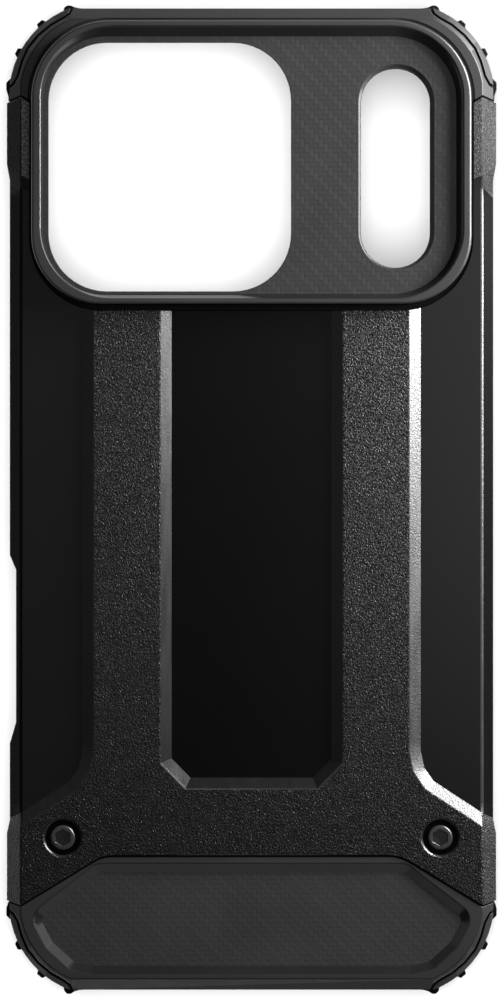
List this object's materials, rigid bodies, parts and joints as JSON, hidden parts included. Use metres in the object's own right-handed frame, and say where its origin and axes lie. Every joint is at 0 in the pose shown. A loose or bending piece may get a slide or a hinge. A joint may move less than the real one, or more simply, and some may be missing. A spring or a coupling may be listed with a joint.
{
  "type": "phone case",
  "caption": "Rugged dual-layer phone case: soft bumper sleeve with ribbed corners, hard railed back shell, camera ring, hex studs and sliding button covers.",
  "frame": {"origin": "middle of the footprint, on the plane the case lies on when it rests on its front rim with its back up", "axes": "+Z out of the case's back, +Y along its length towards the camera end, -Z out of the side the phone goes in, +X to the right as seen from the back"},
  "size_m": [0.077, 0.1552, 0.015],
  "materials": {
    "sleeve": "satin black, woven relief on the camera floor and lower panel",
    "shell": "matte black, coarse grain on rails, bar and arms",
    "stud": "semi-gloss black",
    "cover": "satin black"
  },
  "bodies": {
    "sleeve": {"inner_sleeve": "sleeve", "left_hex_stud": "stud", "right_hex_stud": "stud"},
    "shell": {"hard_shell": "shell"},
    "power_button": {"power_button_cover": "cover"},
    "action_button": {"action_button_cover": "cover"},
    "volume_up_button": {"volume_up_cover": "cover"},
    "volume_down_button": {"volume_down_cover": "cover"}
  },
  "joints": [
    {"name": "shell_slide", "type": "slide", "parent": "sleeve", "child": "shell", "axis": [0, 0, 1], "range_m": [0, 0.016]},
    {"name": "power_press", "type": "slide", "parent": "sleeve", "child": "power_button", "axis": [1, 0, 0], "range_m": [0, 0.0004], "stiffness_N_per_m": 300},
    {"name": "action_press", "type": "slide", "parent": "sleeve", "child": "action_button", "axis": [-1, 0, 0], "range_m": [0, 0.0004], "stiffness_N_per_m": 300},
    {"name": "volume_up_press", "type": "slide", "parent": "sleeve", "child": "volume_up_button", "axis": [-1, 0, 0], "range_m": [0, 0.0004], "stiffness_N_per_m": 300},
    {"name": "volume_down_press", "type": "slide", "parent": "sleeve", "child": "volume_down_button", "axis": [-1, 0, 0], "range_m": [0, 0.0004], "stiffness_N_per_m": 300}
  ]
}
